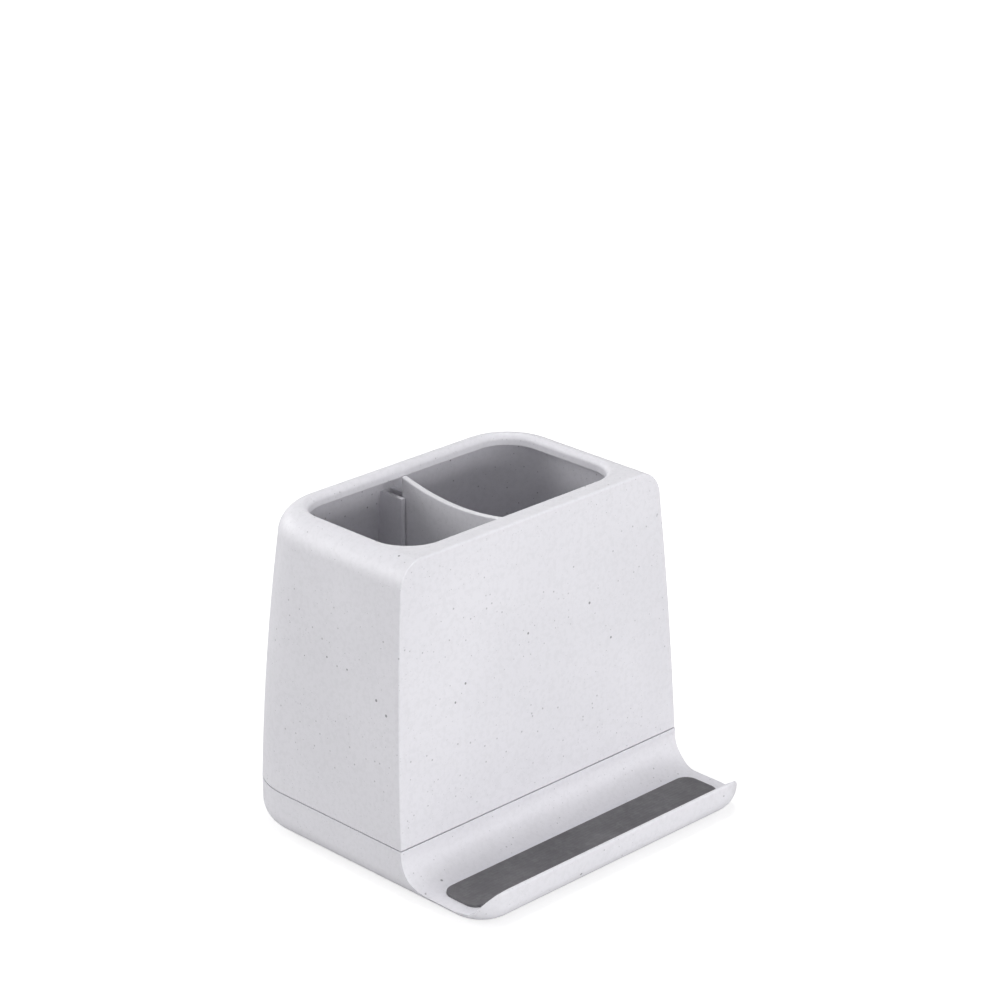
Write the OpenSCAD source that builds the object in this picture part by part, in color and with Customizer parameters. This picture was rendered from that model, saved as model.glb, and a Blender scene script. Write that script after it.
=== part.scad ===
// Toothbrush holder with a phone ledge.
// An open-bottomed shell with a rolled rim stands on a shallow base tray.
// The tray runs forward as a thin ledge with an upturned front stop and a rubber pad,
// so a phone can lean on the flat front face. A thin divider parts the mouth in two.
// Heights are measured up from the surface that the feet stand on.
// In the outlines below, y = 0 is the foot of the flat front face.

/* [Shell] */
// Width of the shell where it meets the base tray
body_w = 120; // [104:1:150]
// Depth of the shell from its flat front face to its back, at the same height
body_d = 76; // [68:1:100]
// Height of the rim
body_h = 105.3; // [92:0.1:140]
// How far each side and the back draw in by the start of the top rounding
draw_in = 4.8; // [2:0.1:8]
// How far the flat front face leans back by the height of the rim
front_lean = 4.4; // [0:0.1:8]
// Radius of the two upright back corners
corner_r = 21.5; // [16:0.5:26]
// Radius of the soft top edge
top_r = 9; // [5:0.5:10]
// Wall thickness of the shell
wall_t = 2.2; // [1.6:0.1:3]

/* [Mouth] */
// Width of the rim at the sides and the back
rim_w = 9.5; // [7:0.1:12]
// Width of the rim behind the flat front face
front_rim_w = 7; // [5:0.1:12]
// Corner radius of the mouth
mouth_r = 12; // [8:0.5:16]
// Height of the lip that hangs from the rim round the mouth
lip_h = 4; // [3:0.1:6]
// Thickness of that lip
lip_t = 1.8; // [1.2:0.1:2.4]
// Radius where the rim rolls over into the mouth
roll_r = 1.4; // [0.8:0.1:2]

/* [Divider] */
// Thickness of the divider
divider_t = 2; // [1.6:0.1:3]
// How deep the top edge of the divider dips in its middle
divider_dip = 6; // [3:0.1:9]
// How far the ends of that edge lie under the rim
divider_drop = 1.1; // [0.6:0.1:3]
// Radius of the divider's lower corners
divider_r = 3; // [1:0.5:5]
// Thickness of the guide ribs that hold its upright edges
rib_t = 1.6; // [1.2:0.1:2.4]
// How far the guide ribs reach over those edges
rib_grip = 2; // [1.2:0.1:3]
// How far under the rim the guide ribs end
rib_drop = 10; // [8:0.5:20]
// Thickness of the web at the foot of the ribs that the divider stands on
web_t = 2; // [1.2:0.1:3]
// Sliding clearance on each face and edge of the divider
slot_clear = 0.3; // [0.2:0.05:0.5]

/* [Base tray] */
// Height of the joint line between the tray and the shell
seam_h = 16.1; // [14:0.1:22]
// Radius of the tray's lower edge
bottom_r = 7.5; // [3:0.5:8]
// Thickness of the tray's floor
floor_t = 2.4; // [2:0.1:2.6]
// Height of the spigot that stands up inside the shell
spigot_h = 4; // [3:0.5:8]
// Thickness of the spigot
spigot_t = 1.6; // [1.2:0.1:2.4]
// Clearance between the spigot and the shell
spigot_clear = 0.3; // [0.2:0.05:0.5]
// Height of the shadow groove under the shell's lower edge
groove_h = 0.35; // [0.3:0.05:0.8]
// Depth of that groove
groove_d = 0.9; // [0.5:0.05:1.2]

/* [Phone ledge] */
// Length of the ledge in front of the shell
ledge_l = 33.7; // [28:0.1:50]
// Height of the ledge's upper face
ledge_h = 4.3; // [3.6:0.1:5]
// Radius of the sweep from the ledge up to the front face
sweep_r = 10; // [6:0.5:11]
// Radius of the ledge's two front corners
ledge_corner_r = 13; // [9:0.5:16]
// Height of the upturned stop along the ledge's front
stop_h = 9.9; // [9:0.1:12]
// Thickness of the stop
stop_t = 3.4; // [2.8:0.1:4.2]
// Radius of the curve between the ledge and the stop
stop_r = 4; // [2:0.5:4.5]
// Radius of the stop's outer top edge
stop_edge_r = 1.8; // [1:0.1:2.6]

/* [Pad and feet] */
// Distance from each end of the pad to the side of the tray
pad_end_gap = 6; // [4:0.1:15]
// Gap between the pad and the curves before and behind it
pad_gap = 0.4; // [0.2:0.1:2]
// Thickness of the pad
pad_t = 1.2; // [0.8:0.1:2]
// Depth of the recess that holds the pad
pad_sink = 0.4; // [0.3:0.1:0.6]
// Corner radius of the pad
pad_r = 4.5; // [0.5:0.5:6]
// Radius of each foot
foot_r = 5.5; // [4:0.5:7]
// Thickness of each foot
foot_t = 1.4; // [1.2:0.1:1.6]
// How far the feet stand out under the tray
foot_out = 0.6; // [0.4:0.1:0.8]
// Distance from the middle of each foot to the tray's nearest edges
foot_inset = 15; // [14:0.5:24]
// Gap round the pad and the feet in their recesses
seat_clear = 0.1; // [0.05:0.05:0.2]

/* [Hidden] */

$fn = 64;
overrun = 1;
slice_t = 0.01;
wall_slices = 6;
round_slices = 8;
// Share of the walls' draw that is a straight taper, where the rest bows them
taper_share = 0.45;

// Form of the walls at a height z
round_z = body_h - top_r;
rise = round_z - seam_h;
lean_slope = front_lean / (body_h - seam_h);
front_wall_share = sqrt(1 + lean_slope * lean_slope);
function climb(z) = (z - seam_h) / rise;
function draw(z) = draw_in * (taper_share * climb(z) + (1 - taper_share) * climb(z) * climb(z));
function half_w(z) = body_w / 2 - draw(z);
function back_y(z) = body_d - draw(z);
function front_y(z) = lean_slope * (z - seam_h);

// Mouth
mouth_half = half_w(round_z) - rim_w;
mouth_front = front_lean + front_rim_w;
mouth_back = back_y(round_z) - rim_w;
mouth_y = (mouth_front + mouth_back) / 2;
lip_z = body_h - lip_h;

// Divider and its guides
divider_front = mouth_front + slot_clear;
divider_back = mouth_back - slot_clear;
divider_l = divider_back - divider_front;
slot_half = divider_t / 2 + slot_clear;
rib_z = seam_h + spigot_h + slot_clear;
divider_z = rib_z + web_t;
divider_top = body_h - divider_drop;
dip_r = (divider_l * divider_l / 4 + divider_dip * divider_dip) / (2 * divider_dip);

// Spigot and basin of the tray
spigot_z = seam_h + spigot_h;
spigot_half = half_w(spigot_z) - wall_t - spigot_clear;
spigot_front = front_y(spigot_z) + wall_t * front_wall_share + spigot_clear;
spigot_back = back_y(spigot_z) - wall_t - spigot_clear;
spigot_r = corner_r - wall_t - spigot_clear;
spigot_front_r = 2 * spigot_t;
basin_z = foot_out + floor_t;

// Ledge and pad, with both curves no taller than the walls that they run into
sweep = min(sweep_r, seam_h - groove_h - ledge_h);
stop_curve = min(stop_r, stop_h - ledge_h);
stop_back = stop_t - ledge_l;
pad_front = stop_back + stop_curve + pad_gap;
pad_back = -sweep - pad_gap;
pad_half = body_w / 2 - pad_end_gap;
pad_z = ledge_h - pad_sink;

// Feet
foot_x = body_w / 2 - foot_inset;
foot_front_y = foot_inset - ledge_l;
foot_back_y = body_d - foot_inset;

// The origin lies on the ground, under the middle of the whole holder
mid_y = (body_d - ledge_l) / 2;

module placed() {
    translate([0, -mid_y, 0])
        children();
}

// Plan with its own radius at the front and at the back corners
module plan(half, front, back, front_r, back_r) {
    translate([-half, front + front_r])
        square([2 * half, back - back_r - front - front_r]);
    translate([front_r - half, front])
        square([2 * (half - front_r), back - back_r - front]);
    translate([back_r - half, front + front_r])
        square([2 * (half - back_r), back - front - front_r]);
    for (side = [-1, 1]) {
        if (front_r > 0)
            translate([side * (half - front_r), front + front_r])
                circle(r = front_r);
        translate([side * (half - back_r), back - back_r])
            circle(r = back_r);
    }
}

// Plan of the sides and back at a height, drawn in by an amount
module shell_slice(z, pull) {
    translate([0, 0, z])
        linear_extrude(height = slice_t)
            plan(half_w(min(z, round_z)) - pull, -overrun, back_y(min(z, round_z)) - pull,
                 0, corner_r - pull);
}

// Loft of the sides and back, bowed up to the top edge and then rounded over it
module shell_loft(inset, low_z) {
    round_r = top_r - inset;
    hull() {
        shell_slice(low_z, inset);
        for (i = [0 : wall_slices])
            shell_slice(seam_h + rise * i / wall_slices, inset);
        for (i = [1 : round_slices]) {
            turn = 90 * i / round_slices;
            shell_slice(round_z + round_r * sin(turn) - slice_t, inset + round_r * (1 - cos(turn)));
        }
    }
}

// The shell's form, taken in all round by a wall, with the leaning front cut flat
module shell_form(inset, low_z) {
    high_z = body_h + overrun;
    back_off = inset * front_wall_share;
    difference() {
        shell_loft(inset, low_z);
        rotate([90, 0, 90])
            linear_extrude(height = 2 * body_w, center = true)
                polygon([[-body_d, 0], [front_y(0) + back_off, 0],
                         [front_y(high_z) + back_off, high_z], [-body_d, high_z]]);
    }
}

// Plan of the mouth, grown by an amount all round
module mouth_plan(grow) {
    plan(mouth_half + grow, mouth_front - grow, mouth_back + grow, mouth_r + grow, mouth_r + grow);
}

// What a rounding takes off an outer edge whose material lies inward and above
module edge_cut(r) {
    difference() {
        translate([-r, -overrun])
            square([r + overrun, r + overrun]);
        translate([-r, r])
            circle(r = r);
    }
}

// Sweep of a section round a plan, with x pointing out of the plan and y up
module sweep_round(half, front, back, front_r, back_r) {
    for (side = [0, 1])
        mirror([side, 0, 0]) {
            translate([half, back - back_r, 0])
                rotate([90, 0, 0])
                    linear_extrude(height = back - back_r - front - front_r)
                        children();
            translate([half - front_r, front + front_r, 0])
                rotate([0, 0, -90])
                    rotate_extrude(angle = 90)
                        translate([front_r, 0])
                            children();
            translate([half - back_r, back - back_r, 0])
                rotate_extrude(angle = 90)
                    translate([back_r, 0])
                        children();
        }
    translate([half - front_r, front, 0])
        rotate([90, 0, -90])
            linear_extrude(height = 2 * (half - front_r))
                children();
    translate([back_r - half, back, 0])
        rotate([90, 0, 90])
            linear_extrude(height = 2 * (half - back_r))
                children();
}

// Upright ribs inside the front and back walls, with a web at their foot
module guide_ribs() {
    for (end = [[-overrun, divider_front + rib_grip], [divider_back - rib_grip, body_d + overrun]]) {
        for (side = [-1, 1])
            translate([side * (slot_half + rib_t / 2) - rib_t / 2, end[0], rib_z])
                cube([rib_t, end[1] - end[0], body_h - rib_drop - rib_z]);
        translate([-slot_half - rib_t / 2, end[0], rib_z])
            cube([2 * slot_half + rib_t, end[1] - end[0], web_t]);
    }
}

module upper_shell() {
    color("gainsboro")
        placed()
            difference() {
                shell_form(0, seam_h);
                difference() {
                    shell_form(wall_t, seam_h - overrun);
                    translate([0, 0, lip_z])
                        linear_extrude(height = lip_h)
                            mouth_plan(lip_t);
                    guide_ribs();
                }
                translate([0, 0, lip_z - overrun])
                    linear_extrude(height = lip_h + 2 * overrun)
                        mouth_plan(0);
                translate([0, 0, body_h])
                    sweep_round(mouth_half, mouth_front, mouth_back, mouth_r, mouth_r)
                        rotate(180)
                            edge_cut(roll_r);
            }
}

// Side view of the divider
module divider_outline() {
    difference() {
        union() {
            translate([divider_front, divider_z + divider_r])
                square([divider_l, divider_top - divider_z - divider_r]);
            translate([divider_front + divider_r, divider_z])
                square([divider_l - 2 * divider_r, divider_r]);
            for (y = [divider_front + divider_r, divider_back - divider_r])
                translate([y, divider_z + divider_r])
                    circle(r = divider_r);
        }
        translate([mouth_y, divider_top - divider_dip + dip_r])
            circle(r = dip_r, $fn = 4 * $fn);
    }
}

module divider() {
    color("white")
        placed()
            rotate([90, 0, 90])
                linear_extrude(height = divider_t, center = true)
                    divider_outline();
}

// Outer form of the tray: its plan, with the lower edge rounded all round
module tray_form() {
    translate([0, 0, foot_out])
        difference() {
            linear_extrude(height = seam_h - foot_out)
                plan(body_w / 2, -ledge_l, body_d, ledge_corner_r, corner_r);
            sweep_round(body_w / 2, -ledge_l, body_d, ledge_corner_r, corner_r)
                edge_cut(bottom_r);
        }
}

// Side view of the tray: block under the shell, sweep, ledge and upturned stop
module tray_outline() {
    square([body_d, seam_h]);
    translate([-ledge_l, 0])
        square([ledge_l, ledge_h]);
    translate([-sweep, ledge_h])
        difference() {
            square(sweep);
            translate([0, sweep])
                circle(r = sweep);
        }
    difference() {
        translate([-ledge_l, 0])
            square([stop_t, stop_h]);
        translate([-ledge_l, stop_h])
            rotate(180)
                edge_cut(stop_edge_r);
    }
    translate([stop_back, ledge_h])
        difference() {
            square(stop_curve);
            translate([stop_curve, stop_curve])
                circle(r = stop_curve);
        }
}

module spigot_plan(inset) {
    plan(spigot_half - inset, spigot_front + inset, spigot_back - inset,
         spigot_front_r - inset, spigot_r - inset);
}

module pad_plan(grow) {
    plan(pad_half + grow, pad_front - grow, pad_back + grow, pad_r + grow, pad_r + grow);
}

module foot(x, y, grow) {
    translate([x, y, 0])
        cylinder(r = foot_r + grow, h = foot_t);
}

module base_tray() {
    color("gainsboro")
        placed()
            difference() {
                union() {
                    intersection() {
                        tray_form();
                        rotate([90, 0, 90])
                            linear_extrude(height = 2 * body_w, center = true)
                                tray_outline();
                    }
                    translate([0, 0, seam_h - overrun])
                        linear_extrude(height = spigot_h + overrun)
                            spigot_plan(0);
                }
                translate([0, 0, basin_z])
                    linear_extrude(height = body_h)
                        spigot_plan(spigot_t);
                translate([0, 0, seam_h - groove_h])
                    linear_extrude(height = groove_h + slice_t)
                        difference() {
                            translate([-body_w, -groove_d])
                                square([2 * body_w, 2 * body_d]);
                            plan(body_w / 2 - groove_d, groove_d, body_d - groove_d, 0, corner_r - groove_d);
                        }
                translate([0, 0, pad_z])
                    linear_extrude(height = pad_sink + overrun)
                        pad_plan(seat_clear);
                for (x = [-foot_x, foot_x])
                    for (y = [foot_front_y, foot_back_y])
                        foot(x, y, seat_clear);
            }
}

module phone_pad() {
    color("dimgray")
        placed()
            translate([0, 0, pad_z])
                linear_extrude(height = pad_t)
                    pad_plan(0);
}

module rubber_foot(x, y) {
    color("darkslategray")
        placed()
            foot(x, y, 0);
}

module foot_front_left() {
    rubber_foot(-foot_x, foot_front_y);
}

module foot_front_right() {
    rubber_foot(foot_x, foot_front_y);
}

module foot_back_left() {
    rubber_foot(-foot_x, foot_back_y);
}

module foot_back_right() {
    rubber_foot(foot_x, foot_back_y);
}

upper_shell();
divider();
base_tray();
phone_pad();
foot_front_left();
foot_front_right();
foot_back_left();
foot_back_right();
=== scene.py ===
import math

import bmesh
import bpy
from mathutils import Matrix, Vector


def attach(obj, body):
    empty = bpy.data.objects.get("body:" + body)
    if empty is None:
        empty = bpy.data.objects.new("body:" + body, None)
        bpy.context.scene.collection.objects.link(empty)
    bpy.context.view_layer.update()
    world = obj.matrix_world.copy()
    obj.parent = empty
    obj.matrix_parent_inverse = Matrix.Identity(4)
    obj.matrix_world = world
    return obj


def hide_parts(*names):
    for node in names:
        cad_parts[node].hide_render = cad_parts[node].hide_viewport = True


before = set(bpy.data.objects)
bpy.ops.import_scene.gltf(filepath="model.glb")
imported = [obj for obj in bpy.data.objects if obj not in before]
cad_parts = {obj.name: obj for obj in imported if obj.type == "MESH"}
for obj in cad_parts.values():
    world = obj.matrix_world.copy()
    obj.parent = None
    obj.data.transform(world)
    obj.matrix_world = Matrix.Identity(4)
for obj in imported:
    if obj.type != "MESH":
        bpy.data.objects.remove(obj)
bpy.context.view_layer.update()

MM = 0.001

# Sizes of the holder in mm, as the solids have them
BODY_W = 120.0
BODY_D = 76.0
BODY_H = 105.3
DRAW_IN = 4.8
TAPER_SHARE = 0.45
FRONT_LEAN = 4.4
CORNER_R = 21.5
TOP_R = 9.0
WALL_T = 2.2
RIM_W = 9.5
FRONT_RIM_W = 7.0
MOUTH_R = 12.0
LIP_H = 4.0
LIP_T = 1.8
DIVIDER_T = 2.0
SLOT_CLEAR = 0.3
RIB_T = 1.6
RIB_GRIP = 2.0
RIB_DROP = 10.0
WEB_T = 2.0
SPIGOT_H = 4.0
SEAM_H = 16.1
FOOT_OUT = 0.6
BOTTOM_R = 7.5
LEDGE_L = 33.7
LEDGE_H = 4.3
LEDGE_CORNER_R = 13.0
SWEEP_R = 10.0
PAD_END_GAP = 6.0
PAD_BACK_GAP = 0.4
PAD_TOP = 5.1
MID_Y = (BODY_D - LEDGE_L) / 2

# The mouth's rolled edge, rounder than the solid's, and how softly it meets the shell's rounding
ROLL_R = 2.2
CREASE = 0.12

# The divider's top edge: a shallower dip than the solid's, whose own lies wholly above DIP_FROM
DIVIDER_TOP = 101.9
DIVIDER_DIP = 3.4
DIP_FROM = 98.0

# The stop in front of the phone: a thin crest that falls off inwards to the ledge. The strip
# that holds it reaches inwards to STRIP_INNER_R from the centres of the ledge's corners.
CREST_H = 11.9
CREST_IN = 0.9
STOP_END = 7.45
FALL_POWER = 1.7
FALL_SWELL = 0.75
CREST_EDGE_R = 0.9
STRIP_INNER_R = 0.5

# The gap between the stop and the pad, and the fine grooves along the pad: their pitch, half
# width and depth, the room before the first and behind the last together, how far their ends
# stay in from the pad's, and how far they run out
PAD_FRONT_GAP = 0.35
GROOVE_PITCH = 1.2
GROOVE_HALF = 0.25
GROOVE_DEPTH = 0.12
GROOVE_MARGINS = 2.4
GROOVE_END_IN = 1.5
GROOVE_RUN_OUT = 0.3

# Small roundings of edges, in mm
FRONT_EDGE_R = 0.5
INNER_EDGE_R = 1.0
TOP_EDGE_R = 0.8
LOW_EDGE_R = 0.15
LIP_EDGE_R = 0.35
TRAY_EDGE_R = 0.4
SEAM_EDGE_R = 0.08
DIVIDER_EDGE_R = 0.5
PAD_EDGE_R = 0.35
FOOT_EDGE_R = 0.3
GUIDE_EDGE_R = 0.2

# The tray's groove and spigot lie higher than SEAM_ZONE under the joint line. Its points are
# merged only lower than MERGE_ZONE under it, so that the groove stays sharp.
SEAM_ZONE = 0.6
MERGE_ZONE = 0.5

# How finely the shell is drawn
ARC_STEPS = 14
RUN_STEPS = 16
WALL_STEPS = 14
ROUNDING_STEPS = 18
RIM_STEPS = 5
ROLL_STEPS = 12
LIP_STEPS = 3
INNER_STEPS = 8

# How finely the stop is drawn, and in how many rounds the corner of its crest is found
SETTLE_ROUNDS = 8
UNDER_STEPS = 12
OUTSIDE_STEPS = 4
CREST_STEPS = 6
FALL_STEPS = 24
CORNER_STEPS = 24
FRONT_STEPS = 20

# Segments of a rounded edge
EDGE_SEGMENTS = 4
SEAM_SEGMENTS = 2
GUIDE_SEGMENTS = 3

# Angles in degrees: a crisp edge, an edge that the modifier rounds, faces that count as flat,
# and the first step up the shell's top rounding
CRISP_FROM = 32
SOFTEN_FROM = 35
FLAT_WITHIN = 0.2
ROUNDING_FROM = 5

# Distances in metres: between points of a new form that are one, between points of a solid that
# are one, across a needle that rounding leaves, and of a point that lies on a cutting plane
SAME_POINT = 1e-7
SAME_SOLID_POINT = 1e-6
NEEDLE_W = 1e-5
ON_PLANE = 1e-8

# Slack in mm for finding the points of the pad's top
TOUCH = 0.01

# The photograph's camera: its place in metres, its direction in degrees, and its lens in mm
CAMERA_PLACE = (-0.64481, -0.65339, 0.47637)
CAMERA_AZIMUTH = -44.718
CAMERA_ELEVATION = 22.012
CAMERA_LENS = 118.105
SENSOR_W = 36

# Light: the world's share from the sides and from overhead, and the lamps, each with its name,
# its place in metres, its width and height, and its watts
LIGHT_AROUND = 0.75
LIGHT_OVERHEAD = 0.1
LAMPS = (
    ("key", (-0.12, -1.5, 0.28), 0.9, 0.4, 12.5),
    ("side", (-1.1, 0.8, 0.72), 0.9, 0.7, 6.5),
    ("rim", (-0.35, 1.5, 0.6), 0.9, 0.5, 4.8),
    ("top", (0.0, 0.05, 1.6), 0.6, 0.6, 9.8),
)

# The floor: its size in metres, the white that only the camera sees, near the object and far
# from it, and the distances in metres between which it grows
FLOOR_SIZE = 8
LIFT_NEAR = 0.62
LIFT_FAR = 0.95
LIFT_FROM = 0.2
LIFT_UNTIL = 1.0

# Tones, each a darker and a lighter one that the surface wavers between
SHELL_TONES = ((0.735, 0.728, 0.768, 1), (0.765, 0.757, 0.798, 1))
DIVIDER_TONES = ((0.77, 0.765, 0.8, 1), (0.8, 0.795, 0.83, 1))
PAD_TONES = ((0.115, 0.112, 0.12, 1), (0.14, 0.137, 0.145, 1))
FOOT_TONES = ((0.17, 0.17, 0.175, 1), (0.21, 0.21, 0.215, 1))
FLOOR_TONES = ((0.61, 0.61, 0.61, 1), (0.63, 0.63, 0.63, 1))
WHITE = (1, 1, 1, 1)

# Tones that lie over these: the plastic's mottle and the painted highlight on its rounded edges, and
# the rubber's dust and worn edges
MOTTLE_TONE = (0.5, 0.5, 0.52, 1)
EDGE_HIGHLIGHT_TONE = (0.84, 0.84, 0.86, 1)
DUST_TONE = (0.3, 0.3, 0.305, 1)
WORN_RUBBER = (0.26, 0.26, 0.265, 1)

# Roughness at its smoothest and at its dullest places
SHELL_ROUGHNESS = (0.36, 0.46)
DIVIDER_ROUGHNESS = (0.34, 0.38)
RUBBER_ROUGHNESS = (0.66, 0.8)

# Specks of the plastic, from fine to bold: spacing and size in metres, the share of the cells
# that hold one, strength and colour
SPECKS = (
    (0.0012, 0.00024, 0.42, 0.42, (0.36, 0.36, 0.38, 1)),
    (0.0022, 0.00042, 0.4, 0.55, (0.28, 0.28, 0.3, 1)),
    (0.0045, 0.00058, 0.2, 0.8, (0.15, 0.15, 0.16, 1)),
)
SMALLEST_SPECK = 0.4
SPECK_SOFT_FROM = 0.55

# Levels of Blender's pointiness between which an edge begins to take its edge tone and does so fully: a
# painted highlight on the plastic, wear on the rubber
EDGE_MASK_FROM = 0.53
EDGE_MASK_FULL = 0.62

# Places and heights worked out from the sizes
ROUND_Z = BODY_H - TOP_R
RISE = ROUND_Z - SEAM_H
LEAN_SLOPE = FRONT_LEAN / (BODY_H - SEAM_H)
MOUTH_HALF = BODY_W / 2 - DRAW_IN - RIM_W
MOUTH_FRONT = FRONT_LEAN + FRONT_RIM_W
MOUTH_BACK = BODY_D - DRAW_IN - RIM_W
LIP_Z = BODY_H - LIP_H
STRIP_DEPTH = LEDGE_CORNER_R - STRIP_INNER_R


# Objects and meshes
def new_object(name, data):
    obj = bpy.data.objects.new(name, data)
    bpy.context.scene.collection.objects.link(obj)
    return obj


def mesh_object(name, bm):
    """An object from a bmesh, shaded smooth."""
    mesh = bpy.data.meshes.new(name)
    bmesh.ops.recalc_face_normals(bm, faces=bm.faces)
    bm.to_mesh(mesh)
    bm.free()
    for face in mesh.polygons:
        face.use_smooth = True
    return new_object(name, mesh)


def weigh_normals(obj):
    """Large faces keep their own normal, so that only the small edge faces shade round."""
    mod = obj.modifiers.new("weighted_normals", "WEIGHTED_NORMAL")
    mod.keep_sharp = True
    mod.weight = 60


def soften(obj, width):
    """Small roundings on the crisp edges, as a modifier."""
    mod = obj.modifiers.new("edge_rounding", "BEVEL")
    mod.width = width * MM
    mod.segments = GUIDE_SEGMENTS
    mod.limit_method = "ANGLE"
    mod.angle_limit = math.radians(SOFTEN_FROM)
    mod.harden_normals = True
    weigh_normals(obj)


def stand_in(bm, name, node, body):
    """An object that takes a solid's place in the picture."""
    obj = mesh_object(name, bm)
    weigh_normals(obj)
    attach(obj, body)
    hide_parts(node)
    return obj


def solid_copy(node):
    """A bmesh of a solid's skin, with the flat faces joined again."""
    bm = bmesh.new()
    bm.from_mesh(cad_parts[node].data)
    bmesh.ops.remove_doubles(bm, verts=bm.verts, dist=SAME_SOLID_POINT)
    bmesh.ops.dissolve_limit(bm, angle_limit=math.radians(FLAT_WITHIN), verts=bm.verts, edges=bm.edges)
    return bm


def crisp_edges(bm):
    return [e for e in bm.edges
            if len(e.link_faces) == 2 and e.calc_face_angle(0) > math.radians(CRISP_FROM)]


def round_edges(bm, edges, width, segments=EDGE_SEGMENTS):
    bmesh.ops.bevel(bm, geom=edges, offset=width * MM, segments=segments, profile=0.5, affect="EDGES",
                    clamp_overlap=True, offset_type="OFFSET")


def cut(bm, axis, at, **sides):
    """New edges where a plane across an axis, at a place in mm, meets the faces."""
    middle = [0.0, 0.0, 0.0]
    middle[axis] = at * MM
    normal = [0.0, 0.0, 0.0]
    normal[axis] = 1.0
    bmesh.ops.bisect_plane(bm, geom=bm.verts[:] + bm.edges[:] + bm.faces[:], dist=ON_PLANE,
                           plane_co=middle, plane_no=normal, **sides)


# Form of the shell, as in the solids but for the roll. Its y starts at the foot of the flat front.
def climb(z):
    """Share of the way up from the joint line to the top rounding."""
    return (min(z, ROUND_Z) - SEAM_H) / RISE


def draw(z):
    """How far the bowed walls have come in at a height."""
    return DRAW_IN * (TAPER_SHARE * climb(z) + (1 - TAPER_SHARE) * climb(z) ** 2)


def half_w(z):
    return BODY_W / 2 - draw(z)


def back_y(z):
    return BODY_D - draw(z)


def front_y(z):
    return LEAN_SLOPE * (z - SEAM_H)


def plan_ring(half, front, back, front_r, back_r, z):
    """Points round a plan, anticlockwise from above, with the same count in every ring."""
    corners = ((half - front_r, front + front_r, front_r, -90),
               (half - back_r, back - back_r, back_r, 0),
               (back_r - half, back - back_r, back_r, 90),
               (front_r - half, front + front_r, front_r, 180))
    arcs = []
    for x, y, r, start in corners:
        turns = [math.radians(start + 90 * k / ARC_STEPS) for k in range(ARC_STEPS + 1)]
        arcs.append([(x + r * math.cos(t), y + r * math.sin(t)) for t in turns])
    points = []
    for arc, after in zip(arcs, arcs[1:] + arcs[:1]):
        points += arc
        (x0, y0), (x1, y1) = arc[-1], after[0]
        points += [(x0 + (x1 - x0) * k / RUN_STEPS, y0 + (y1 - y0) * k / RUN_STEPS)
                   for k in range(1, RUN_STEPS)]
    return [(x, y, z) for x, y in points]


def wall_ring(z, inset, pull=0.0, front_in=0.0, front_r=FRONT_EDGE_R):
    """Ring round the outer form at a height, taken in by the wall and by the top rounding."""
    return plan_ring(half_w(z) - inset - pull, front_y(z) + inset + front_in,
                     back_y(z) - inset - pull, front_r, CORNER_R - inset - pull, z)


def mouth_ring(z, grow):
    """Ring round the mouth at a height, grown outwards."""
    return plan_ring(MOUTH_HALF + grow, MOUTH_FRONT - grow, MOUTH_BACK + grow,
                     MOUTH_R + grow, MOUTH_R + grow, z)


def edge_in(z):
    """How far the small rounding of the front's top edge has come in."""
    rise = min(max(z - (BODY_H - TOP_EDGE_R), 0), TOP_EDGE_R)
    return TOP_EDGE_R - math.sqrt(TOP_EDGE_R ** 2 - rise ** 2)


def outside(x, y, half, front, back, r):
    """How far a point lies outside a plan with round corners, and less than 0 inside it."""
    over_x = abs(x) - (half - r)
    over_y = abs(y - (front + back) / 2) - ((back - front) / 2 - r)
    return math.hypot(max(over_x, 0), max(over_y, 0)) + min(max(over_x, over_y), 0) - r


def over_wall(x, y):
    """Height of the rounding over the sides and back, with the front set out of its reach."""
    depth = -outside(x, y, half_w(ROUND_Z), -BODY_D, back_y(ROUND_Z), CORNER_R)
    return ROUND_Z + math.sqrt(TOP_R ** 2 - (TOP_R - min(max(depth, 0), TOP_R)) ** 2)


def crown_z(x, y):
    """Height of the top near the mouth: the rounding over the walls runs into the roll."""
    wall = over_wall(x, y)
    grow = min(max(outside(x, y, MOUTH_HALF, MOUTH_FRONT, MOUTH_BACK, MOUTH_R), 0), ROLL_R)
    roll = BODY_H - ROLL_R + math.sqrt(ROLL_R ** 2 - (ROLL_R - grow) ** 2)
    blend = max(CREASE - abs(wall - roll), 0) / CREASE
    return min(wall, roll) - blend ** 2 * CREASE / 4


def outer_rings():
    """Up the outside of the shell, from its lower edge to the start of the roll."""
    rings = [wall_ring(SEAM_H, 0, pull=LOW_EDGE_R, front_in=LOW_EDGE_R),
             wall_ring(SEAM_H + LOW_EDGE_R, 0)]
    rings += [wall_ring(SEAM_H + RISE * k / WALL_STEPS, 0) for k in range(1, WALL_STEPS + 1)]
    rim_pull = RIM_W - ROLL_R
    last = math.degrees(math.acos(1 - rim_pull / TOP_R))
    for k in range(ROUNDING_STEPS + 1):
        turn = math.radians(ROUNDING_FROM + (last - ROUNDING_FROM) * k / ROUNDING_STEPS)
        z = ROUND_Z + TOP_R * math.sin(turn)
        rings.append(wall_ring(z, 0, pull=TOP_R * (1 - math.cos(turn)), front_in=edge_in(z)))
    side_z = ROUND_Z + TOP_R * math.sin(math.radians(last))
    for k in range(1, RIM_STEPS + 1):
        z = side_z + (BODY_H - side_z) * k / RIM_STEPS
        ring = wall_ring(z, 0, pull=rim_pull, front_in=edge_in(z))
        rings.append([(x, y, min(z, over_wall(x, y))) for x, y, z in ring])
    return rings


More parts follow.
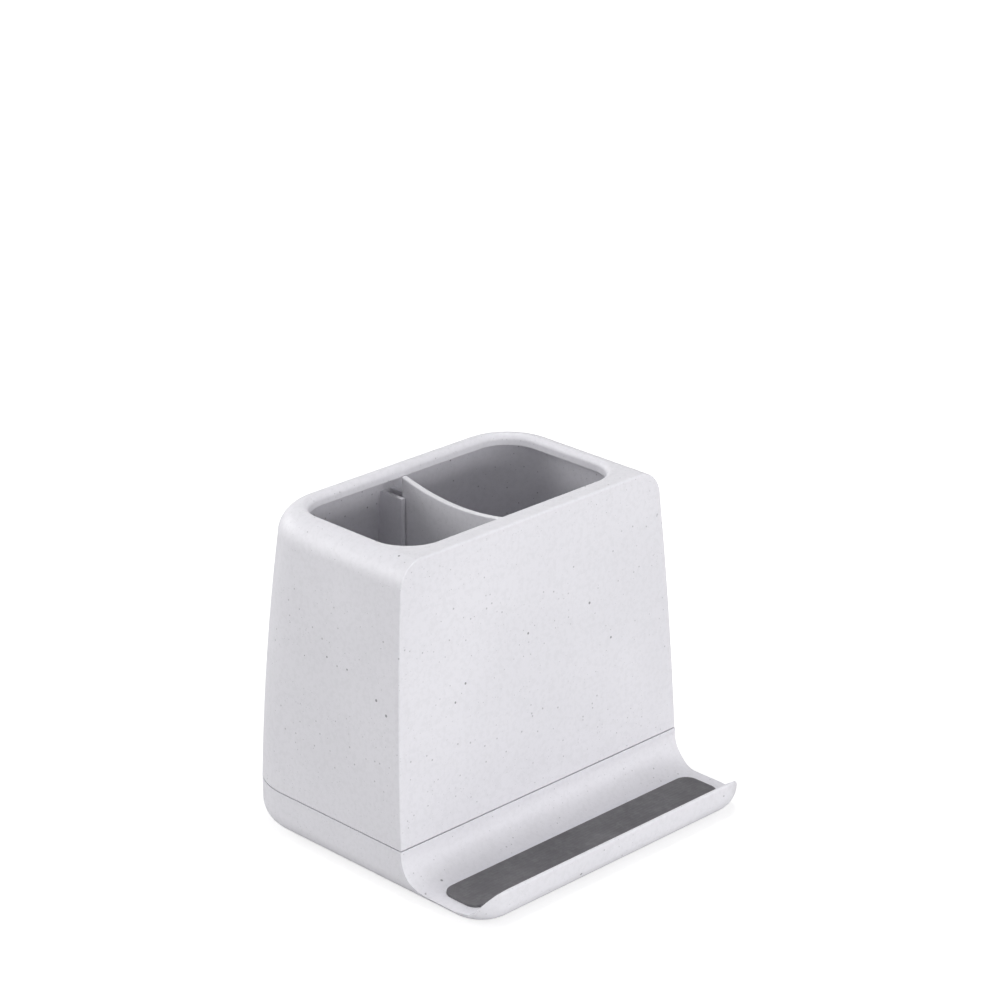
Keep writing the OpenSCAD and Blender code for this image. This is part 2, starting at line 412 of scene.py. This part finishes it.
def roll_rings():
    """Over the rolled edge, down the mouth, and round the hanging lip's lower edge."""
    rings = []
    for k in range(ROLL_STEPS + 1):
        grow = ROLL_R * (1 - math.sin(math.radians(90 * k / ROLL_STEPS)))
        rings.append([(x, y, crown_z(x, y)) for x, y, z in mouth_ring(BODY_H, grow)])
    for centre, start in ((LIP_EDGE_R, 90), (LIP_T - LIP_EDGE_R, 180)):
        for k in range(LIP_STEPS + 1):
            turn = math.radians(start + 90 * k / LIP_STEPS)
            rings.append(mouth_ring(LIP_Z + LIP_EDGE_R * (1 + math.cos(turn)),
                                    centre - LIP_EDGE_R * math.sin(turn)))
    return rings


def inner_rings():
    """Under the rim and down the inside of the shell to its lower edge."""
    inner_r = TOP_R - WALL_T
    first = math.degrees(math.acos(1 - (RIM_W - WALL_T - LIP_T) / inner_r))
    rings = [mouth_ring(ROUND_Z + inner_r * math.sin(math.radians(first)), LIP_T)]
    for k in range(1, INNER_STEPS):
        turn = math.radians(first * (1 - k / INNER_STEPS))
        z = ROUND_Z + inner_r * math.sin(turn)
        rings.append(wall_ring(z, WALL_T, pull=inner_r * (1 - math.cos(turn)), front_r=INNER_EDGE_R))
    for k in range(INNER_STEPS + 1):
        rings.append(wall_ring(ROUND_Z - RISE * k / INNER_STEPS, WALL_T, front_r=INNER_EDGE_R))
    return rings


def loft(bm, rings):
    """Quads between rings of one count, and from the last ring to the first."""
    rows = [[bm.verts.new(Vector((x, y - MID_Y, z)) * MM) for x, y, z in ring] for ring in rings]
    count = len(rows[0])
    for low, high in zip(rows, rows[1:] + rows[:1]):
        for k in range(count):
            j = (k + 1) % count
            bm.faces.new((low[k], low[j], high[j], high[k]))


def make_shell():
    """The moulded shell: bowed walls, soft top edge, rolled mouth and hanging lip in one skin."""
    bm = bmesh.new()
    loft(bm, outer_rings() + roll_rings() + inner_rings())
    bmesh.ops.remove_doubles(bm, verts=bm.verts, dist=SAME_POINT)
    return stand_in(bm, "shell_skin", "upper_shell", "shell")


# The divider and the ribs that hold it
def bar(bm, corners):
    """A six-sided bar from its four lower and four upper corners, in mm."""
    v = [bm.verts.new(Vector((x, y - MID_Y, z)) * MM) for x, y, z in corners]
    for face in ((0, 1, 2, 3), (4, 5, 6, 7), (0, 1, 5, 4), (1, 2, 6, 5), (2, 3, 7, 6), (3, 0, 4, 7)):
        bm.faces.new([v[k] for k in face])


def guide_corners(x, half, low_z, top_z, at_front):
    """Corners of a rib or web that stands out from the front or the back wall."""
    corners = []
    for z in (low_z, top_z):
        if at_front:
            wall, end = front_y(z) + WALL_T / 2, MOUTH_FRONT + SLOT_CLEAR + RIB_GRIP
        else:
            wall, end = back_y(z) - WALL_T / 2, MOUTH_BACK - SLOT_CLEAR - RIB_GRIP
        corners += [(x - half, wall, z), (x + half, wall, z), (x + half, end, z), (x - half, end, z)]
    return corners


def make_guides():
    """Upright ribs that hold the divider's edges, with the web that it stands on."""
    bm = bmesh.new()
    slot_half = DIVIDER_T / 2 + SLOT_CLEAR
    low_z = SEAM_H + SPIGOT_H + SLOT_CLEAR
    spans = [(side * (slot_half + RIB_T / 2), RIB_T / 2, BODY_H - RIB_DROP) for side in (-1, 1)]
    spans.append((0, slot_half, low_z + WEB_T))
    for x, half, top_z in spans:
        for at_front in (True, False):
            bar(bm, guide_corners(x, half, low_z, top_z, at_front))
    guides = mesh_object("divider_guides", bm)
    soften(guides, GUIDE_EDGE_R)
    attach(guides, "shell")
    return guides


def dip_z(y):
    """Height of the divider's top edge, an arc from the front of the mouth to its back."""
    half = (MOUTH_BACK - MOUTH_FRONT) / 2 - SLOT_CLEAR
    r = (half ** 2 + DIVIDER_DIP ** 2) / (2 * DIVIDER_DIP)
    return DIVIDER_TOP - DIVIDER_DIP + r - math.sqrt(r ** 2 - (y - (MOUTH_FRONT + MOUTH_BACK) / 2) ** 2)


def make_divider():
    """The divider with its crisp edges rounded and the flatter dip that the photograph shows."""
    bm = solid_copy("divider")
    for v in bm.verts:
        if v.co.z > DIP_FROM * MM:
            v.co.z = dip_z(v.co.y / MM + MID_Y) * MM
    round_edges(bm, crisp_edges(bm), DIVIDER_EDGE_R)
    return stand_in(bm, "divider_skin", "divider", "divider")


# Form of the tray's stop. A depth is measured back from the front, and an inset from the outer
# edge of the ledge, so that the two are the same along the straight front.
def stop_z(depth):
    """Height of the stop and the ledge at a depth."""
    t = min(max((depth - CREST_IN) / (STOP_END - CREST_IN), 0), 1)
    return LEDGE_H + (CREST_H - LEDGE_H) * (1 - t) ** FALL_POWER * (1 + FALL_SWELL * t)


def stop_depth(inset, turn):
    """Depth of an inset place, at an angle round the corner of the ledge."""
    return LEDGE_CORNER_R - (LEDGE_CORNER_R - inset) * math.cos(turn)


def foot_rounding(z):
    """How far the rounding of the tray's lower edge takes the wall in at a height."""
    left = max(BOTTOM_R - (z - FOOT_OUT), 0)
    return BOTTOM_R - math.sqrt(BOTTOM_R ** 2 - left ** 2)


def crest_corner(turn):
    """Inset and height at which the outer wall would meet the top in a crisp edge."""
    inset = 0.0
    for _ in range(SETTLE_ROUNDS):
        top = stop_z(stop_depth(inset, turn))
        inset = foot_rounding(top)
    return inset, top


def outside_rows(wall_end):
    """Insets and heights from the underside round the lower edge and up the wall."""
    rows = [(STRIP_DEPTH, FOOT_OUT), ((STRIP_DEPTH + BOTTOM_R) / 2, FOOT_OUT)]
    arc_end = math.acos(max(1 - (wall_end - FOOT_OUT) / BOTTOM_R, 0))
    for k in range(UNDER_STEPS + 1):
        turn = arc_end * k / UNDER_STEPS
        rows.append((BOTTOM_R * (1 - math.sin(turn)), FOOT_OUT + BOTTOM_R * (1 - math.cos(turn))))
    arc_z = rows[-1][1]
    for k in range(1, OUTSIDE_STEPS + 1):
        rows.append((foot_rounding(wall_end), arc_z + (wall_end - arc_z) * k / OUTSIDE_STEPS))
    return rows


def curve_point(t, start, corner, end):
    """A point on the curve that leaves its start towards the corner and reaches its end."""
    return tuple((1 - t) ** 2 * a + 2 * t * (1 - t) * b + t ** 2 * c
                 for a, b, c in zip(start, corner, end))


def stop_section(turn):
    """Insets and heights from the underside round the wall and over the top."""
    edge_at, top = crest_corner(turn)
    edge_r = TRAY_EDGE_R + (CREST_EDGE_R - TRAY_EDGE_R) * (top - LEDGE_H) / (CREST_H - LEDGE_H)
    wall_end = top - edge_r
    fall_start = edge_at + edge_r
    rows = outside_rows(wall_end)
    low = (foot_rounding(wall_end), wall_end)
    high = (fall_start, stop_z(stop_depth(fall_start, turn)))
    for k in range(1, CREST_STEPS + 1):
        rows.append(curve_point(k / CREST_STEPS, low, (edge_at, top), high))
    for k in range(1, FALL_STEPS + 1):
        inset = fall_start + (STRIP_DEPTH - fall_start) * k / FALL_STEPS
        rows.append((inset, stop_z(stop_depth(inset, turn))))
    return rows


def stop_columns():
    """Where the sections of the strip stand: x in mm, and the angle round the ledge's corner."""
    straight = BODY_W / 2 - LEDGE_CORNER_R
    columns = [(-straight, math.radians(-90 + 90 * k / CORNER_STEPS)) for k in range(CORNER_STEPS)]
    columns += [(-straight + 2 * straight * k / FRONT_STEPS, 0.0) for k in range(FRONT_STEPS + 1)]
    columns += [(straight, math.radians(90 * k / CORNER_STEPS)) for k in range(1, CORNER_STEPS + 1)]
    return columns


def add_stop(bm):
    """The tray's front strip: the stop, rounded into the corners of the ledge."""
    grid = []
    for x, turn in stop_columns():
        line = []
        for inset, z in stop_section(turn):
            r = LEDGE_CORNER_R - inset
            y = LEDGE_CORNER_R - LEDGE_L - r * math.cos(turn)
            line.append(bm.verts.new(Vector((x + r * math.sin(turn), y - MID_Y, z)) * MM))
        grid.append(line)
    for left, right in zip(grid, grid[1:]):
        for k in range(len(left) - 1):
            bm.faces.new((left[k], right[k], right[k + 1], left[k + 1]))
    bmesh.ops.remove_doubles(bm, verts=bm.verts, dist=SAME_POINT)


def cut_at_stop(bm, keep_front):
    """Cut across behind the stop, and keep what lies before or behind the cut."""
    cut(bm, 1, STOP_END - LEDGE_L - MID_Y, clear_inner=not keep_front, clear_outer=keep_front)


def stop_mesh():
    """A mesh of the front strip, up to the cut behind the stop."""
    strip = bmesh.new()
    add_stop(strip)
    cut_at_stop(strip, keep_front=True)
    mesh = bpy.data.meshes.new("stop_strip")
    strip.to_mesh(mesh)
    strip.free()
    return mesh


def near_seam(edge):
    """Whether an edge lies on the groove at the joint line or on the spigot above it."""
    return any(v.co.z > (SEAM_H - SEAM_ZONE) * MM for v in edge.verts)


def make_tray():
    """The tray's skin: the solid's own behind the stop, and the finer form of the stop."""
    front = stop_mesh()
    bm = solid_copy("base_tray")
    round_edges(bm, [e for e in crisp_edges(bm) if not near_seam(e)], TRAY_EDGE_R)
    round_edges(bm, [e for e in crisp_edges(bm) if near_seam(e)], SEAM_EDGE_R, SEAM_SEGMENTS)
    low_points = [v for v in bm.verts if v.co.z < (SEAM_H - MERGE_ZONE) * MM]
    bmesh.ops.remove_doubles(bm, verts=low_points, dist=NEEDLE_W)
    cut_at_stop(bm, keep_front=False)
    bm.from_mesh(front)
    bpy.data.meshes.remove(front)
    # The two halves are joined along the cut, which leaves them one closed skin
    bmesh.ops.bridge_loops(bm, edges=[e for e in bm.edges if e.is_boundary])
    bmesh.ops.triangulate(bm, faces=[f for f in bm.faces if len(f.verts) > 4])
    return stand_in(bm, "tray_skin", "base_tray", "base")


# The pad and the feet
def groove_middles():
    """Where the grooves run along the pad, evenly about its middle, as y in mm."""
    front = STOP_END + PAD_FRONT_GAP - LEDGE_L - MID_Y
    back = -SWEEP_R - PAD_BACK_GAP - MID_Y
    count = int((back - front - GROOVE_MARGINS) / GROOVE_PITCH)
    return [(front + back) / 2 + (k - (count - 1) / 2) * GROOVE_PITCH for k in range(count)]


def make_pad():
    """The rubber pad with fine moulded grooves along it."""
    bm = solid_copy("phone_pad")
    round_edges(bm, crisp_edges(bm), PAD_EDGE_R)
    middles = groove_middles()
    end = BODY_W / 2 - PAD_END_GAP - GROOVE_END_IN
    for at in (-end - GROOVE_RUN_OUT, -end, end, end + GROOVE_RUN_OUT):
        cut(bm, 0, at)
    for middle in middles:
        for step in (-GROOVE_HALF, 0, GROOVE_HALF):
            cut(bm, 1, middle + step)
    for v in bm.verts:
        on_top = v.co.z > (PAD_TOP - TOUCH) * MM and abs(v.co.x) < (end + TOUCH) * MM
        if on_top and any(abs(v.co.y - middle * MM) < SAME_SOLID_POINT for middle in middles):
            v.co.z -= GROOVE_DEPTH * MM
    return stand_in(bm, "pad_skin", "phone_pad", "base")


def make_foot(corner):
    """A rubber foot with its crisp edges rounded."""
    bm = solid_copy("foot_" + corner)
    round_edges(bm, crisp_edges(bm), FOOT_EDGE_R)
    return stand_in(bm, "foot_skin_" + corner, "foot_" + corner, "base")


# Shader nodes
def node_material(name):
    """A material with a Principled shader, and its tree, for nodes to be added to."""
    mat = bpy.data.materials.new(name)
    mat.use_nodes = True
    tree = mat.node_tree
    return mat, tree, tree.nodes["Principled BSDF"]


def put(tree, target, value):
    """Link a socket's value to an input, or set the input to a plain value."""
    if isinstance(value, bpy.types.NodeSocket):
        tree.links.new(value, target)
    else:
        target.default_value = value


def add(tree, kind, inputs=None, **settings):
    """A node with its settings and its unlinked or linked inputs."""
    node = tree.nodes.new(kind)
    for key, value in settings.items():
        setattr(node, key, value)
    for key, value in (inputs or {}).items():
        put(tree, node.inputs[key], value)
    return node


def math_node(tree, operation, a, b=0.0, c=0.0):
    return add(tree, "ShaderNodeMath", {0: a, 1: b, 2: c}, operation=operation).outputs[0]


def span(tree, value, low, high, to_low=0.0, to_high=1.0):
    """A smooth ramp of a value from one span to another."""
    node = add(tree, "ShaderNodeMapRange", {"Value": value, "From Min": low, "From Max": high,
                                            "To Min": to_low, "To Max": to_high},
               interpolation_type="SMOOTHSTEP")
    return node.outputs["Result"]


def mix_colour(tree, factor, a, b):
    node = add(tree, "ShaderNodeMix", data_type="RGBA", clamp_factor=True)
    for socket, value in (("Factor_Float", factor), ("A_Color", a), ("B_Color", b)):
        put(tree, next(s for s in node.inputs if s.identifier == socket), value)
    return next(s for s in node.outputs if s.identifier == "Result_Color")


def tint(tree, base, mask, strength, colour):
    """The base colour with another over it where the mask is, at a strength."""
    return mix_colour(tree, math_node(tree, "MULTIPLY", mask, strength), base, colour)


def place(tree):
    """Where a point is on the object, in metres, whatever way the object is turned."""
    return add(tree, "ShaderNodeTexCoord").outputs["Object"]


def noise(tree, where, scale, detail=3.0, roughness=0.5):
    return add(tree, "ShaderNodeTexNoise", {"Vector": where, "Scale": scale, "Detail": detail,
                                            "Roughness": roughness}).outputs["Fac"]


def specks(tree, where, spacing, size, share):
    """Round specks, one in some of the cells of a loose grid: a mask from 0 to 1."""
    cell = add(tree, "ShaderNodeTexVoronoi", {"Vector": where, "Scale": 1 / spacing, "Randomness": 1.0})
    pick = add(tree, "ShaderNodeSeparateColor", {"Color": cell.outputs["Color"]})
    radius = math_node(tree, "MULTIPLY_ADD", pick.outputs["Green"],
                       (1 - SMALLEST_SPECK) * size / spacing, SMALLEST_SPECK * size / spacing)
    edge = math_node(tree, "DIVIDE", cell.outputs["Distance"], radius)
    disc = span(tree, edge, SPECK_SOFT_FROM, 1.0, 1.0, 0.0)
    chosen = math_node(tree, "LESS_THAN", pick.outputs["Red"], share)
    return math_node(tree, "MULTIPLY", disc, chosen)


def edge_wear_and_highlight(tree):
    """A mask of the rounded edges: on the plastic it carries a painted highlight and a polish from
    handling, on the rubber paler wear.
    """
    point = add(tree, "ShaderNodeNewGeometry").outputs["Pointiness"]
    return span(tree, point, EDGE_MASK_FROM, EDGE_MASK_FULL)


def bump(tree, shader, height, distance, strength):
    node = add(tree, "ShaderNodeBump", {"Height": height, "Distance": distance, "Strength": strength})
    tree.links.new(node.outputs["Normal"], shader.inputs["Normal"])


# Materials
def speckled_plastic(name, tones, roughness):
    """Satin moulded plastic: a pale cloudy tone with bold, middling and faint fine specks."""
    mat, tree, shader = node_material(name)
    where = place(tree)
    cloud = span(tree, noise(tree, where, scale=22), low=0.35, high=0.65)
    base = mix_colour(tree, cloud, *tones)
    mottle = span(tree, noise(tree, where, scale=650, roughness=0.6), low=0.42, high=0.66, to_high=0.13)
    base = mix_colour(tree, mottle, base, MOTTLE_TONE)
    for spacing, size, share, strength, colour in SPECKS:
        base = tint(tree, base, specks(tree, where, spacing, size, share), strength, colour)
    # Painted highlight: the plastic's rounded edges are lightened in colour, while their lower
    # roughness is polish from handling
    edge_sheen_and_polish = edge_wear_and_highlight(tree)
    base = tint(tree, base, edge_sheen_and_polish, 0.08, EDGE_HIGHLIGHT_TONE)
    tree.links.new(base, shader.inputs["Base Color"])
    rough = span(tree, noise(tree, where, scale=160, detail=4), 0.3, 0.7, *roughness)
    rough = math_node(tree, "SUBTRACT", rough, math_node(tree, "MULTIPLY", edge_sheen_and_polish, 0.08))
    tree.links.new(rough, shader.inputs["Roughness"])
    grain = noise(tree, where, scale=2600, detail=2)
    bump(tree, shader, grain, distance=0.00002, strength=0.35)
    shader.inputs["Specular IOR Level"].default_value = 0.45
    return mat


def rubber_material(name, tones):
    """Matt rubber with dust in its grain and paler worn edges."""
    mat, tree, shader = node_material(name)
    where = place(tree)
    dust = span(tree, noise(tree, where, scale=480, detail=5, roughness=0.65), low=0.4, high=0.75)
    cloud = span(tree, noise(tree, where, scale=40), low=0.35, high=0.65)
    base = mix_colour(tree, cloud, *tones)
    base = tint(tree, base, dust, 0.18, DUST_TONE)
    base = tint(tree, base, edge_wear_and_highlight(tree), 0.35, WORN_RUBBER)
    tree.links.new(base, shader.inputs["Base Color"])
    rough = span(tree, noise(tree, where, scale=300), 0.3, 0.7, *RUBBER_ROUGHNESS)
    tree.links.new(rough, shader.inputs["Roughness"])
    grain = noise(tree, where, scale=1500)
    bump(tree, shader, grain, distance=0.00004, strength=0.5)
    shader.inputs["Specular IOR Level"].default_value = 0.35
    return mat


def dress(obj, mat):
    obj.data.materials.clear()
    obj.data.materials.append(mat)


# Camera and studio
def make_camera():
    """The photograph's camera: a long lens, from the left front and a little above."""
    azimuth, elevation = math.radians(CAMERA_AZIMUTH), math.radians(CAMERA_ELEVATION)
    back = Vector((math.sin(azimuth) * math.cos(elevation),
                   -math.cos(azimuth) * math.cos(elevation),
                   math.sin(elevation)))
    data = bpy.data.cameras.new("photo_camera")
    data.lens = CAMERA_LENS
    data.sensor_width = SENSOR_W
    data.clip_start, data.clip_end = 0.01, 20
    cam = new_object("photo_camera", data)
    cam.location = CAMERA_PLACE
    cam.rotation_mode = "QUATERNION"
    cam.rotation_quaternion = (-back).to_track_quat("-Z", "Y")
    bpy.context.scene.camera = cam


def place_in_sky(tree):
    """The direction in which a ray leaves the scene."""
    return add(tree, "ShaderNodeTexCoord").outputs["Generated"]


def make_world():
    """White to the camera and in reflections, and soft light on the object, least from overhead."""
    world = bpy.data.worlds.new("studio")
    bpy.context.scene.world = world
    world.use_nodes = True
    tree = world.node_tree
    tree.nodes.clear()
    path = add(tree, "ShaderNodeLightPath")
    seen = math_node(tree, "MAXIMUM", path.outputs["Is Camera Ray"], path.outputs["Is Glossy Ray"])
    seen = math_node(tree, "MAXIMUM", seen, path.outputs["Is Transmission Ray"])
    height = add(tree, "ShaderNodeSeparateXYZ", {"Vector": place_in_sky(tree)}).outputs["Z"]
    soft = span(tree, height, 0, 1, LIGHT_AROUND, LIGHT_OVERHEAD)
    light = add(tree, "ShaderNodeBackground", {"Color": WHITE, "Strength": soft})
    white = add(tree, "ShaderNodeBackground", {"Color": WHITE, "Strength": 1.0})
    mix = add(tree, "ShaderNodeMixShader", {0: seen, 1: light.outputs[0], 2: white.outputs[0]})
    add(tree, "ShaderNodeOutputWorld", {"Surface": mix.outputs[0]})


def floor_material():
    """Matt white, with the camera's extra white growing with the distance from the object."""
    mat, tree, shader = node_material("floor_white")
    where = place(tree)
    tone = span(tree, noise(tree, where, scale=3, detail=2), low=0.3, high=0.7)
    tree.links.new(mix_colour(tree, tone, *FLOOR_TONES), shader.inputs["Base Color"])
    shader.inputs["Roughness"].default_value = 0.9
    shader.inputs["Specular IOR Level"].default_value = 0.0
    path = add(tree, "ShaderNodeLightPath")
    away = add(tree, "ShaderNodeVectorMath", {0: where}, operation="LENGTH").outputs["Value"]
    lift = span(tree, away, LIFT_FROM, LIFT_UNTIL, LIFT_NEAR, LIFT_FAR)
    lift = math_node(tree, "MULTIPLY", path.outputs["Is Camera Ray"], lift)
    glow = add(tree, "ShaderNodeEmission", {"Color": WHITE, "Strength": lift})
    both = add(tree, "ShaderNodeAddShader", {0: shader.outputs[0], 1: glow.outputs[0]})
    tree.links.new(both.outputs[0], tree.nodes["Material Output"].inputs["Surface"])
    return mat


def make_floor():
    """A white floor that keeps the object's shadow and runs white into the background."""
    bpy.ops.mesh.primitive_plane_add(size=FLOOR_SIZE)
    floor = bpy.context.object
    floor.name = "floor"
    dress(floor, floor_material())


def soft_lamp(name, place_at, width, height, power):
    """A rectangular lamp that faces the middle of the standing plane."""
    data = bpy.data.lights.new(name, "AREA")
    data.energy = power
    data.shape = "RECTANGLE"
    data.size = width
    data.size_y = height
    lamp = new_object(name, data)
    lamp.location = place_at
    lamp.rotation_mode = "QUATERNION"
    lamp.rotation_quaternion = Vector(place_at).to_track_quat("Z", "Y")


def make_studio():
    bpy.context.scene.view_settings.view_transform = "Standard"
    make_world()
    make_floor()
    for name, place_at, width, height, power in LAMPS:
        soft_lamp(name, place_at, width, height, power)


def build():
    shell_plastic = speckled_plastic("shell_plastic", SHELL_TONES, SHELL_ROUGHNESS)
    divider_plastic = speckled_plastic("divider_plastic", DIVIDER_TONES, DIVIDER_ROUGHNESS)
    pad_rubber = rubber_material("pad_rubber", PAD_TONES)
    foot_rubber = rubber_material("foot_rubber", FOOT_TONES)
    dress(make_shell(), shell_plastic)
    dress(make_guides(), shell_plastic)
    dress(make_tray(), shell_plastic)
    dress(make_divider(), divider_plastic)
    dress(make_pad(), pad_rubber)
    for corner in ("front_left", "front_right", "back_left", "back_right"):
        dress(make_foot(corner), foot_rubber)


build()
make_camera()
make_studio()
